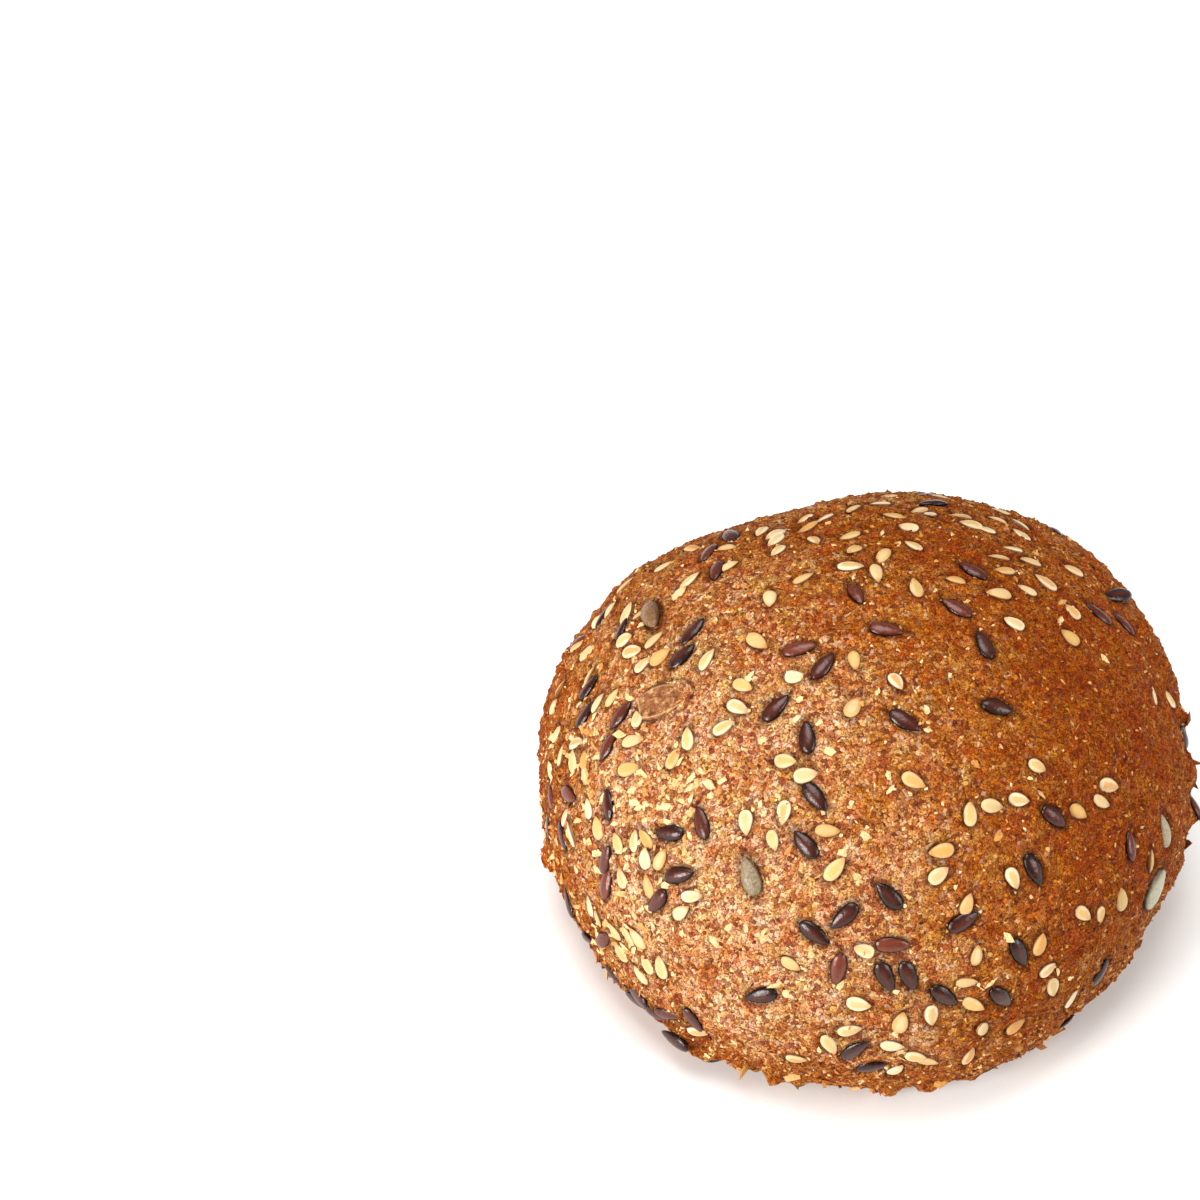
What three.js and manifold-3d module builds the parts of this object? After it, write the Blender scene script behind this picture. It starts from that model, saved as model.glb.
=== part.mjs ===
// A round bread roll with a seeded crust, as baked: the roll itself, and the larger seeds that
// were pressed into its crust before baking. Each seed sits in a pocket of its own in the crust.
//
// Millimetres, +Z up. The origin is the middle of the flat base, +X is the roll's right and -Y
// its front. A place on the crust is given by two angles in degrees: its bearing, turning from
// +X towards +Y, and its rise, which is -90 at the edge of the base, 0 at the widest ring and 90
// at the top. A seed's turn is the way its pointed end faces: 0 along the ring, 90 uphill.

import * as THREE from 'three';
import { mergeVertices } from 'three/addons/utils/BufferGeometryUtils.js';
import Module from 'manifold-3d';

const wasm = await Module();
wasm.setup();

// ---- The roll ----

const WIDTH = 102;
const HEIGHT = 58;
const BASE_WIDTH = 0.8 * WIDTH;
const SHOULDER_HEIGHT = 0.235 * HEIGHT;
const RING_SEGMENTS = 72;
const LOWER_RINGS = 6;
const UPPER_RINGS = 18;

// The outline isn't a true circle: each lobe count adds its share of the radius.
const OUTLINE_LOBES = [
  { lobes: 2, cosine: 0.006, sine: 0.025 },
  { lobes: 3, cosine: -0.014, sine: 0.024 },
  { lobes: 4, cosine: -0.01, sine: -0.01 },
  { lobes: 5, cosine: 0.006, sine: 0 },
];

// The dome leans: its height grows by this share towards the +X edge.
const LEAN = 0.025;

// ---- The seeds ----

const LINSEED = { name: 'linseed', length: 5, width: 2.6, thickness: 1.3, taper: 0.22, lift: 0.2 };
const SUNFLOWER = {
  name: 'sunflower_kernel', length: 6.4, width: 3.1, thickness: 1.9, taper: 0.25, lift: 0.3,
};
const PUMPKIN = { name: 'pumpkin_seed', length: 9.2, width: 5.8, thickness: 2, taper: 0.15, lift: -0.2 };
const SMALL_PUMPKIN = { ...PUMPKIN, name: 'small_pumpkin_seed', length: 7, width: 5, lift: 0.1 };
const SEED_SIDES = 8;
const SEED_RINGS = 5;
const SEED_GAP = 0.3;

const LINSEED_COLOUR = '#3d2622';
const SUNFLOWER_COLOUR = '#8f8468';
const PUMPKIN_COLOUR = '#9a6238';
const SMALL_PUMPKIN_COLOUR = '#a09c80';
const CRUST_COLOUR = '#a9632f';

// Bearing, rise and turn of each seed on the front and the top.
const LINSEED_PLACES = [
  [181, 57, 125], [188, 54, 105], [196, 34, 113], [192, 39, 108], [215, 72, 60],
  [232, 72, 90], [226, 62, 85], [241, 60, 118], [249, 51, -36], [154, 59, 20],
  [195, 19, 27], [206, 28, 150], [198, 11, 165], [212, 20, 95], [222, 34, 213],
  [227, 39, 140], [228, 29, 40], [226, 22, 250], [250, 43, 145], [260, 32, 230],
  [255, 28, -27], [260, 22, -95], [248, 13, 210], [264, 4, 50], [268, 36, 134],
  [282, 30, 20], [298, 35, -84], [307, 41, -63], [292, 21, -75], [288, 13, -55],
  [278, 16, -45], [269, 27, 0], [268, 21, -65], [272, 21, -70], [265, 82, -10],
  [345, 78, 73], [327, 71, 53], [309, 62, -48], [273, 65, -40], [24, 74, 35],
  [310, 4, 60], [10, 49, 67], [178, 32, 110], [184, 30, 112], [237, -1, -55],
];
const SUNFLOWER_PLACES = [[241, 35, 125], [334, 19, 80]];
const PUMPKIN_PLACES = [[197, 48, 70]];
const SMALL_PUMPKIN_PLACES = [[327, 11, 0]];

// The back carries the same kind of scatter: bearings in even steps, and rises and turns that
// never come round to the same value again.
const BACK_LINSEEDS = 10;
const BACK_BEARINGS = { from: 25, to: 165 };
const BACK_RISES = { from: 2, to: 56 };
const GOLDEN_SHARE = 0.618;
const GOLDEN_ANGLE = 137.5;

// ---- The crust's surface ----

function outlineAt(bearing) {
  const angle = THREE.MathUtils.degToRad(bearing);
  let scale = 1;
  for (const { lobes, cosine, sine } of OUTLINE_LOBES) {
    scale += cosine * Math.cos(lobes * angle) + sine * Math.sin(lobes * angle);
  }
  return scale;
}

// Radius and height of a true-circle roll: a short quarter ellipse from the base's edge out to
// the shoulder, and a tall one from the shoulder up to the top.
function profileAt(rise) {
  const angle = THREE.MathUtils.degToRad(rise);
  if (rise < 0) {
    const radius = BASE_WIDTH / 2 + (WIDTH / 2 - BASE_WIDTH / 2) * Math.cos(angle);
    return new THREE.Vector2(radius, SHOULDER_HEIGHT * (1 + Math.sin(angle)));
  }
  const height = SHOULDER_HEIGHT + (HEIGHT - SHOULDER_HEIGHT) * Math.sin(angle);
  return new THREE.Vector2((WIDTH / 2) * Math.cos(angle), height);
}

function misshape(point) {
  const scale = outlineAt(THREE.MathUtils.radToDeg(Math.atan2(point.y, point.x)));
  point.x *= scale;
  point.y *= scale;
  point.z *= 1 + (LEAN * point.x) / (WIDTH / 2);
  return point;
}

function crustPoint(bearing, rise) {
  const profile = profileAt(rise);
  const angle = THREE.MathUtils.degToRad(bearing);
  const x = profile.x * Math.cos(angle);
  const y = profile.x * Math.sin(angle);
  return misshape(new THREE.Vector3(x, y, profile.y));
}

// ---- Solids ----

const MERGE_DISTANCE = 1e-4;

function toManifold(geometry) {
  const bare = new THREE.BufferGeometry();
  bare.setAttribute('position', geometry.getAttribute('position'));
  bare.setIndex(geometry.getIndex());
  const merged = mergeVertices(bare, MERGE_DISTANCE);
  const corners = merged.getIndex().array;
  const kept = [];
  for (let i = 0; i < corners.length; i += 3) {
    const [a, b, c] = [corners[i], corners[i + 1], corners[i + 2]];
    if (a !== b && b !== c && c !== a) {
      kept.push(a, b, c);
    }
  }
  const vertProperties = new Float32Array(merged.getAttribute('position').array);
  return new wasm.Manifold(new wasm.Mesh({ numProp: 3, vertProperties, triVerts: new Uint32Array(kept) }));
}

function toGeometry(manifold) {
  const mesh = manifold.getMesh();
  const geometry = new THREE.BufferGeometry();
  geometry.setAttribute('position', new THREE.BufferAttribute(mesh.vertProperties, 3));
  geometry.setIndex(new THREE.BufferAttribute(mesh.triVerts, 1));
  geometry.computeVertexNormals();
  return geometry;
}

function rollSolid() {
  const points = [new THREE.Vector2(0, 0)];
  for (let i = 0; i < LOWER_RINGS; i += 1) {
    points.push(profileAt(-90 + (90 * i) / LOWER_RINGS));
  }
  for (let i = 0; i < UPPER_RINGS; i += 1) {
    points.push(profileAt((90 * i) / UPPER_RINGS));
  }
  points.push(new THREE.Vector2(0, HEIGHT));
  const geometry = new THREE.LatheGeometry(points, RING_SEGMENTS);
  geometry.rotateX(Math.PI / 2);
  const position = geometry.getAttribute('position');
  for (let i = 0; i < position.count; i += 1) {
    const point = misshape(new THREE.Vector3().fromBufferAttribute(position, i));
    position.setXYZ(i, point.x, point.y, point.z);
  }
  return toManifold(geometry);
}

// A flattened drop along X, its pointed end at +X and its flat sides facing up and down.
function seedGeometry({ length, width, thickness, taper }, clearance = 0) {
  const points = [];
  for (let i = 0; i <= SEED_RINGS; i += 1) {
    const along = -Math.cos((Math.PI * i) / SEED_RINGS);
    const radius = Math.sqrt(1 - along * along) * (1 - taper * along);
    points.push(new THREE.Vector2(radius, along));
  }
  const geometry = new THREE.LatheGeometry(points, SEED_SIDES);
  geometry.rotateZ(-Math.PI / 2);
  geometry.scale(length / 2 + clearance, width / 2 + clearance, thickness / 2 + clearance);
  return geometry;
}

// Where a seed lies: flat on the crust, its middle raised by lift along the way out.
function seat([bearing, rise, turn], lift) {
  const along = crustPoint(bearing + 1, rise).sub(crustPoint(bearing - 1, rise)).normalize();
  const uphill = crustPoint(bearing, rise + 1).sub(crustPoint(bearing, rise - 1)).normalize();
  const outward = new THREE.Vector3().crossVectors(along, uphill).normalize();
  const angle = THREE.MathUtils.degToRad(turn);
  const tip = along.clone().multiplyScalar(Math.cos(angle));
  tip.addScaledVector(new THREE.Vector3().crossVectors(outward, along), Math.sin(angle)).normalize();
  const side = new THREE.Vector3().crossVectors(outward, tip);
  const middle = crustPoint(bearing, rise).addScaledVector(outward, lift);
  return new THREE.Matrix4().makeBasis(tip, side, outward).setPosition(middle);
}

function backPlaces() {
  const places = [];
  for (let i = 0; i < BACK_LINSEEDS; i += 1) {
    const across = (i + 0.5) / BACK_LINSEEDS;
    const up = (i * GOLDEN_SHARE) % 1;
    const bearing = THREE.MathUtils.lerp(BACK_BEARINGS.from, BACK_BEARINGS.to, across);
    const rise = THREE.MathUtils.lerp(BACK_RISES.from, BACK_RISES.to, up);
    places.push([bearing, rise, i * GOLDEN_ANGLE]);
  }
  return places;
}

// ---- The roll with its seeds ----

const bread = new THREE.Group();
const pockets = [];

function addSeeds(kind, places, colour) {
  const geometry = seedGeometry(kind);
  const pocket = toManifold(seedGeometry(kind, SEED_GAP));
  const material = new THREE.MeshStandardMaterial({ color: colour, roughness: 0.4, metalness: 0 });
  places.forEach((place, index) => {
    const seed = new THREE.Mesh(geometry, material);
    const matrix = seat(place, kind.lift);
    seed.name = `${kind.name}_${index + 1}`;
    seed.position.setFromMatrixPosition(matrix);
    seed.quaternion.setFromRotationMatrix(matrix);
    bread.add(seed);
    pockets.push(pocket.transform(matrix.toArray()));
  });
}

addSeeds(LINSEED, [...LINSEED_PLACES, ...backPlaces()], LINSEED_COLOUR);
addSeeds(SUNFLOWER, SUNFLOWER_PLACES, SUNFLOWER_COLOUR);
addSeeds(PUMPKIN, PUMPKIN_PLACES, PUMPKIN_COLOUR);
addSeeds(SMALL_PUMPKIN, SMALL_PUMPKIN_PLACES, SMALL_PUMPKIN_COLOUR);

const roll = new THREE.Mesh(
  toGeometry(rollSolid().subtract(wasm.Manifold.union(pockets))),
  new THREE.MeshStandardMaterial({ color: CRUST_COLOUR, roughness: 0.8, metalness: 0 }),
);
roll.name = 'roll';
bread.add(roll);

// The uneven outline is set so that the middle of its extent is over the origin.
const extent = new THREE.Box3().setFromObject(bread, true);
const middle = extent.getCenter(new THREE.Vector3());
bread.position.set(-middle.x, -middle.y, 0);

export default bread;
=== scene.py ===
"""A seeded bread roll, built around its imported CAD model. Metres, +Z up, origin at the base's middle.

A place on the crust is (bearing, rise, turn) in degrees. Bearing turns from +X towards +Y. Rise is
-90 at the edge of the base, 0 at the widest ring and 90 at the top. Turn is the way that a seed's
pointed end faces: 0 along the ring, 90 uphill.
"""

import math

import bmesh
import bpy
import numpy as np
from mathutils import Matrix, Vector
from mathutils.bvhtree import BVHTree
from mathutils.kdtree import KDTree


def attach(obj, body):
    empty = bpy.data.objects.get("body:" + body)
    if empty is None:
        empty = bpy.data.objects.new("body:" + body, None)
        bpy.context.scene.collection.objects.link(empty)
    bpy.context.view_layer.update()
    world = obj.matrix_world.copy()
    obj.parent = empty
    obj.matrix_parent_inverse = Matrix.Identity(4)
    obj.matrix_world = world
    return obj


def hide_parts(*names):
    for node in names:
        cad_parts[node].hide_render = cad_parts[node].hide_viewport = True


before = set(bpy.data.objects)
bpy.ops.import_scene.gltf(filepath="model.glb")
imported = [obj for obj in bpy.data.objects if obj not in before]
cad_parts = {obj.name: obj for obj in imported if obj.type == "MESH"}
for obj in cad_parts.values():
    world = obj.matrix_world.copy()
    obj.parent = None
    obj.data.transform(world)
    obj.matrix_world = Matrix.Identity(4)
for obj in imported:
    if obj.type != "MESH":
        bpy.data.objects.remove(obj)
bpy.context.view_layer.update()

MM = 0.001
WIDTH = 102 * MM
HEIGHT = 58 * MM
SHOULDER = 0.235 * HEIGHT
BASE_RADIUS = 0.8 * WIDTH / 2

# The roll's own axis, which its uneven outline sets a little off the origin.
AXIS = Vector((0.00036, 0.00105, 0))

# The outline isn't a true circle: each lobe count adds its cosine and sine share of the radius.
OUTLINE_LOBES = [(2, 0.006, 0.025), (3, -0.014, 0.024), (4, -0.01, -0.01), (5, 0.006, 0)]
LEAN = 0.025

# ---- Places of the seeds that are not in the CAD model ----

SESAME_PLACES = [
    (274, 55, -30), (287, 48, 75), (293, 48, -25), (300, 47, -30), (313, 39, -60), (320, 37, -55),
    (324, 38, -45), (279, 43, 185), (278, 39, 30), (293, 35, -78), (283, 33, 65), (306, 22, -55),
    (310, 19, -85), (316, 18, 80), (284, 23, 80), (296, 21, 70), (297, 15, 15), (282, 18, -5),
    (283, 13, -30), (271, 11, 80), (276, 12, -85), (285, 6, -60), (291, 4, 15), (270, 5, 0),
    (274, 2, -25), (276, 0, -20), (271, -8, 60), (264, 15, 0), (283, -2, 70), (303, 3, 20),
    (298, 10, -85), (326, 19, 80), (309, 50, -50), (271, 72, -65), (246, 75, -60), (253, 67, 80),
    (348, 68, 85), (5, 71, 90), (17, 78, 70), (11, 65, 45), (6, 56, 40), (354, 57, 60), (356, 34, 20),
    (0, 28, 20), (66, 77, -20), (74, 71, -20), (82, 66, 0), (68, 64, 120), (90, 81, 60), (107, 85, 80),
    (13, 85, 0), (22, 68, 75), (31, 67, 60), (35, 62, 30), (27, 61, 75), (17, 60, 50), (46, 52, 20),
    (41, 56, 20), (53, 63, 20), (50, 56, 30), (26, 50, 60), (87, 59, -10), (97, 60, 60), (139, 67, 5),
    (132, 63, 10), (123, 69, 75), (107, 72, -20), (112, 77, 30), (128, 81, 137), (159, 76, 130),
    (157, 54, 120), (162, 53, 125), (152, 61, 120), (141, 56, 100), (198, 67, 30), (211, 61, 25),
    (216, 58, 22), (217, 54, 75), (194, 58, 115), (224, 68, 35), (238, 55, 20), (245, 54, 30),
    (243, 47, -75), (236, 43, -60), (243, 42, -50), (254, 46, 10), (257, 40, 60), (252, 21, -15),
    (264, 26, 170), (260, 5, -60), (255, -3, 0), (263, 9, 10), (238, -12, 10), (158, 34, 110),
    (159, 31, 100), (162, 25, 100), (167, 30, 110), (175, 32, 130), (172, 42, 80), (177, 44, 70),
    (177, 49, 120), (183, 46, 120), (184, 50, 110), (163, 41, 150), (165, 45, 110), (171, 22, 100),
    (173, 18, 110), (184, 34, 120), (186, 38, 130), (180, 19, 110), (188, 26, 60), (193, 27, 170),
    (186, 20, 160), (185, 14, 165), (191, 24, 140), (196, 26, 160), (197, 15, 100), (202, 23, 160),
    (201, 15, 150), (207, 23, 150), (213, 25, 150), (216, 28, 120), (218, 30, 160), (220, 27, 110),
    (223, 29, 100), (223, 23, 140), (217, 20, 150), (196, 42, 150), (200, 39, 60), (211, 48, 140),
    (212, 44, 110), (205, 36, 60), (211, 6, 140), (214, 6, 100), (214, 1, 140), (219, 8, 160),
    (222, 10, 150), (224, 11, 150), (221, 4, 150), (227, 7, 150), (230, 9, 120), (226, 3, 140),
    (231, 23, 60), (232, 27, 30), (129, 57, 30), (129, 61, 0), (114, 58, 10), (109, 61, 0), (118, 63, 0),
    (147, 43, 120), (150, 34, 140), (140, 46, 100), (176, 71, 0), (84, 50, 0), (70, 50, 0), (73, 62, 60),
    (59, 61, 20), (48, 62, 20), (54, 49, 10),
]
LINSEED_PLACES = [
    (204, -6, 160), (211, -14, 30), (218, -22, 170), (224, -28, 200), (229, -24, 20),
    (234, -30, 190), (241, -46, 0), (267, -4, 20), (303, -22, 60), (357, 20, 80), (350, 8, 60),
    (189, 11, 170), (214, 16, 110), (190, 4, 170), (20, 41, 100), (70, 57, 40), (180, 85, 20),
    (288, -46, 30), (168, 41, 160), (216, 2, 60), (225, -18, 200), (232, -13, 20), (11, 42, 60),
    (322, 26, 60), (161, 25, 100), (134, 52, 60),
]
GOLDEN_KERNEL_PLACES = [(168, 48, 28)]

# Seeds that are scattered over the side that the lists leave bare, which faces away from
# LISTED_SIDE: how many, how near each other, and from what share of the height to what share.
BACK_SEEDS = {"sesame": 130, "linseed": 16}
LISTED_SIDE = np.array([-0.1, -0.64, 0.77])
SEED_SPACING = 3.4 * MM
SCATTER_HEIGHTS = (-0.6, 0.8)

# How unlike each other the seeds of a kind are: how deep they lie, in millimetres, how far they
# tilt, and their size and each of its sides.
DEPTH_SPREAD = (-0.15, 0.1)
TILT_SPREAD = 0.14
SIZE_SPREAD = (0.86, 1.08)
SIDE_SPREAD = (0.94, 1.06)

# The way the palest side of the crust faces. It is pale partly by its browning and partly by painted sheen,
# where the key light's highlight falls.
PALE_SHEEN_SIDE = np.array([-0.55, -0.58, 0.6])

# Length, width and thickness of each kind.
SIZES = {
    "sesame": (3.65 * MM, 2.2 * MM, 0.85 * MM),
    "linseed": (5.0 * MM, 2.45 * MM, 1.15 * MM),
    "sunflower": (5.8 * MM, 2.9 * MM, 1.8 * MM),
    "pumpkin": (10.2 * MM, 6.2 * MM, 2.0 * MM),
    "small_pumpkin": (7.0 * MM, 6.0 * MM, 2.2 * MM),
    "golden_kernel": (8.4 * MM, 3.6 * MM, 2.6 * MM),
}

# How far the middle of each kind is above the crust, in millimetres.
LIFTS = {
    "sesame": 0.05,
    "linseed": 0.1,
    "sunflower": 0.3,
    "pumpkin": -0.3,
    "small_pumpkin": 0.1,
    "golden_kernel": 0.2,
}

# The first part of the CAD names of each kind that the CAD model has.
CAD_NAMES = {
    "linseed": "linseed_",
    "sunflower": "sunflower_kernel_",
    "pumpkin": "pumpkin_seed_",
    "small_pumpkin": "small_pumpkin_seed_",
}

# How far down some CAD seeds are drawn, under crust that rose over their edges.
LOWERED = {"sunflower_kernel_2": 0.6 * MM}

# The kinds that the crust rose around, so that it has no dent round them, only a narrow ring of painted
# shade.
BAKED_IN = ("pumpkin",)

# Dents and bumps that show in the outline: bearing, rise, width and height in millimetres.
OUTLINE_BUMPS = [
    (331, -6, 8.0, -1.7), (308, -20, 10.0, -1.0), (235, -30, 2.2, 2.2), (239, -38, 2.0, 2.0),
    (0, 22, 1.5, 1.4), (353, 14, 2.4, 1.7), (349, 7, 1.8, 1.7), (7, 30, 1.8, 1.1),
    (13, 36, 1.8, 1.1), (21, 40, 1.8, 1.0), (33, 40, 2.2, 1.2), (193, -6, 2.0, 1.4),
    (251, -40, 1.4, 2.0), (255, -45, 1.3, 1.4), (271, -40, 1.5, 1.3), (278, -45, 1.3, 1.5),
    (285, -40, 1.6, 1.0), (245, -35, 1.6, 1.2),
]

# Dark scales that stick out of the outline, as bearing and rise.
EDGE_SCALE_PLACES = [
    (359, 22), (354, 16), (352, 12), (349, 7), (5, 28), (9, 32), (346, 2), (14, 35), (22, 40),
    (30, 42),
]

# Thin pale husks, as bearing and rise.
HUSK_PLACES = [
    (232, 65), (235, 62), (243, 63), (282, 66), (252, 49), (258, 51), (281, 63), (262, 46), (267, 56),
    (268, 54), (273, 53), (299, 42), (299, 14), (290, 25), (286, 17), (270, 18), (220, 42), (222, 41),
    (219, 44), (224, 45), (205, 36), (209, 38), (243, 25), (213, 33), (190, 42), (181, 42), (195, 42),
    (229, 56), (262, 70), (306, 46), (170, 46), (176, 53), (252, 15), (225, 26), (226, 47), (237, 47),
]

# ---- Noise ----

# Large odd numbers that scramble a cell's place until no pattern is left.
SCRAMBLE_X, SCRAMBLE_Y, SCRAMBLE_Z = 73856093, 19349663, 83492791
SCRAMBLE_SEED = 2654435761
SCRAMBLE_AGAIN = 1274126177
TOP_VALUE = 0xFFFFF

# Each finer layer of noise is this much finer, shifted and fainter than the one before.
LAYER_FINER = 1.93
LAYER_SHIFT = 17
LAYER_FAINTER = 0.5


def cell_value(cells, seed):
    """A number from 0 to 1 for each whole-number cell."""
    x, y, z = cells.astype(np.int64).T
    mixed = (x * SCRAMBLE_X) ^ (y * SCRAMBLE_Y) ^ (z * SCRAMBLE_Z) ^ (seed * SCRAMBLE_SEED)
    mixed = (mixed ^ (mixed >> 13)) * SCRAMBLE_AGAIN
    mixed = mixed ^ (mixed >> 16)
    return (mixed & TOP_VALUE) / TOP_VALUE


def smooth_noise(points, seed):
    """Smooth noise from -1 to 1, with lumps about one unit wide."""
    cells = np.floor(points)
    part = points - cells
    ease = part * part * (3 - 2 * part)
    total = np.zeros(len(points))
    for corner in np.ndindex(2, 2, 2):
        weight = np.prod(np.where(corner, ease, 1 - ease), axis=1)
        total += cell_value(cells + corner, seed) * weight
    return 2 * total - 1


def layered_noise(points, seed, layers=3):
    """Smooth noise with finer and fainter layers on it."""
    total = np.zeros(len(points))
    for layer in range(layers):
        finer = points * LAYER_FINER**layer + LAYER_SHIFT * layer
        total += smooth_noise(finer, seed + layer) * LAYER_FAINTER**layer
    return total


def nearest_grain(points, seed):
    """Distance to the nearest of grains scattered one to a unit cell, and that grain's number."""
    cells = np.floor(points)
    best = np.full(len(points), np.inf)
    number = np.zeros(len(points))
    for step in np.ndindex(3, 3, 3):
        cell = cells + step - 1
        grain = cell + np.stack([cell_value(cell, seed + k) for k in range(3)], axis=1)
        distance = np.linalg.norm(points - grain, axis=1)
        closer = distance < best
        best = np.where(closer, distance, best)
        number = np.where(closer, cell_value(cell, seed + 3), number)
    return best, number


def ridge(values, place, width):
    """A soft bump of height 1 where the values pass the given place."""
    return np.exp(-(((values - place) / width) ** 2))


# ---- Mesh helpers ----


def make_object(name, vertices, faces, material, smooth=True):
    mesh = bpy.data.meshes.new(name)
    mesh.from_pydata(np.asarray(vertices).tolist(), [], [list(face) for face in faces])
    mesh.polygons.foreach_set("use_smooth", [smooth] * len(mesh.polygons))
    mesh.materials.append(material)
    mesh.update()
    thing = bpy.data.objects.new(name, mesh)
    bpy.context.scene.collection.objects.link(thing)
    return thing


def add_values(thing, name, values):
    """Stores a number for each vertex, for the material to read."""
    attribute = thing.data.attributes.new(name, "FLOAT", "POINT")
    attribute.data.foreach_set("value", np.asarray(values, np.float32))


def vertex_normals(vertices, quads):
    """The way out at each vertex of a closed mesh of quads."""
    across = vertices[quads[:, 2]] - vertices[quads[:, 0]]
    along = vertices[quads[:, 3]] - vertices[quads[:, 1]]
    faces = np.cross(across, along)
    normals = np.zeros_like(vertices)
    for corner in range(4):
        np.add.at(normals, quads[:, corner], faces)
    return normals / np.linalg.norm(normals, axis=1, keepdims=True)


def relax(vertices, quads, rounds):
    """Moves each vertex towards the middle of its neighbours, again and again."""
    first, second = np.concatenate([quads[:, [k, (k + 1) % 4]] for k in range(4)]).T
    count = np.bincount(first, minlength=len(vertices))
    for _ in range(rounds):
        sums = [np.bincount(first, vertices[second, axis], len(vertices)) for axis in range(3)]
        vertices = 0.5 * vertices + 0.5 * np.stack(sums, axis=1) / count[:, None]
    return vertices


# ---- The bare crust ----

# The crust's mesh: squares along each side of a patch, and each patch's way out, right and up.
GRID = 128
PATCHES = [
    ((1, 0, 0), (0, 1, 0), (0, 0, 1)), ((-1, 0, 0), (0, -1, 0), (0, 0, 1)),
    ((0, 1, 0), (-1, 0, 0), (0, 0, 1)), ((0, -1, 0), (1, 0, 0), (0, 0, 1)),
    ((0, 0, 1), (0, 1, 0), (-1, 0, 0)), ((0, 0, -1), (0, 1, 0), (1, 0, 0)),
]

# The base gets this share of the squares that it would get by its area.
BASE_SHARE = 0.3

# How finely the CAD roll's profile is measured, from just off one pole to just off the other.
POLE_GAP = 0.001
PROFILE_STEPS = 241
PROFILE_BEARINGS = 12

# The middle that rays are cast from, and how often the cast points are evened out.
CAST_CENTRE = Vector((0, 0, 0.42 * HEIGHT))
RELAX_ROUNDS = 40

# Soft lumps of the risen dough: how wide and how high. They fade out towards the base.
BROAD_LUMP_WIDTH = 17 * MM
BROAD_LUMP_HEIGHT = 0.55
SMALL_LUMP_WIDTH = 6 * MM
SMALL_LUMP_HEIGHT = 0.3
LUMP_FADE = 8 * MM


def six_patches():
    """Unit directions over a whole ball, in six square patches that share their edges, and quads."""
    steps = np.tan(np.linspace(-math.pi / 4, math.pi / 4, GRID + 1))
    row, column = np.meshgrid(np.arange(GRID), np.arange(GRID), indexing="ij")
    first = (row * (GRID + 1) + column).ravel()
    patch_quads = np.stack([first, first + GRID + 1, first + GRID + 2, first + 1], axis=1)
    points, quads = [], []
    for out, right, up in PATCHES:
        grid = np.array(out) + steps[:, None, None] * np.array(right)
        grid = grid + steps[None, :, None] * np.array(up)
        quads.append(patch_quads + len(points) * (GRID + 1) ** 2)
        points.append(grid.reshape(-1, 3))
    points = np.concatenate(points)
    points /= np.linalg.norm(points, axis=1, keepdims=True)
    _, kept, merged = np.unique(np.round(points, 6), axis=0, return_index=True, return_inverse=True)
    return points[kept], merged.ravel()[np.concatenate(quads)]


def cad_hull():
    """The CAD roll without its seed pockets: the hull of its corners, as a tree to cast rays at."""
    hull = bmesh.new()
    hull.from_mesh(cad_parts["roll"].data)
    shape = bmesh.ops.convex_hull(hull, input=hull.verts)
    spare = set(shape["geom_interior"]) | set(shape["geom_unused"])
    spare_corners = [part for part in spare if isinstance(part, bmesh.types.BMVert)]
    bmesh.ops.delete(hull, geom=spare_corners, context="VERTS")
    tree = BVHTree.FromBMesh(hull)
    hull.free()
    return tree


def spread_by_area(directions, tree):
    """Slides the directions up or down so that the roll's own surface gets them evenly."""
    polar = np.linspace(POLE_GAP, math.pi - POLE_GAP, PROFILE_STEPS)
    reach = np.zeros(len(polar))
    for bearing in np.linspace(0, 2 * math.pi, PROFILE_BEARINGS, endpoint=False):
        for index, angle in enumerate(polar):
            level = math.sin(angle)
            ray = Vector((level * math.cos(bearing), level * math.sin(bearing), math.cos(angle)))
            reach[index] += tree.ray_cast(CAST_CENTRE, ray)[3] / PROFILE_BEARINGS
    radius = reach * np.sin(polar)
    height = reach * np.cos(polar)
    strip = np.hypot(np.diff(radius), np.diff(height)) * (radius[1:] + radius[:-1])
    strip *= np.where(height[1:] < 0.5 * MM - CAST_CENTRE.z, BASE_SHARE, 1)
    share = np.concatenate([[0], np.cumsum(strip)]) / strip.sum()
    angle = np.interp((1 - directions[:, 2]) / 2, share, polar)
    flat = directions[:, :2]
    flat = flat / np.maximum(np.linalg.norm(flat, axis=1, keepdims=True), 1e-9)
    return np.column_stack([flat * np.sin(angle)[:, None], np.cos(angle)])


def bare_crust():
    """The CAD roll's surface without pockets, as an even mesh of quads."""
    directions, quads = six_patches()
    tree = cad_hull()
    directions = spread_by_area(directions, tree)
    vertices = np.array([tree.ray_cast(CAST_CENTRE, Vector(d))[0] for d in directions])
    return relax(vertices, quads, RELAX_ROUNDS), quads


def add_lumps(vertices, normals, quads):
    """Adds the soft unevenness of dough that rose and baked, and the bumps of the outline."""
    tree = BVHTree.FromPolygons(vertices.tolist(), quads.tolist())
    lumps = BROAD_LUMP_HEIGHT * layered_noise(vertices / BROAD_LUMP_WIDTH, seed=3, layers=2)
    lumps = lumps + SMALL_LUMP_HEIGHT * smooth_noise(vertices / SMALL_LUMP_WIDTH, seed=8)
    lumps *= np.clip(vertices[:, 2] / LUMP_FADE, 0, 1)
    for bearing, rise, width, height in OUTLINE_BUMPS:
        distance = np.linalg.norm(vertices - surface_at(tree, bearing, rise)[0], axis=1)
        lumps += height * ridge(distance, 0, width * MM)
    return vertices + normals * (lumps * MM)[:, None]


# ---- Seats of the seeds ----


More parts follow.
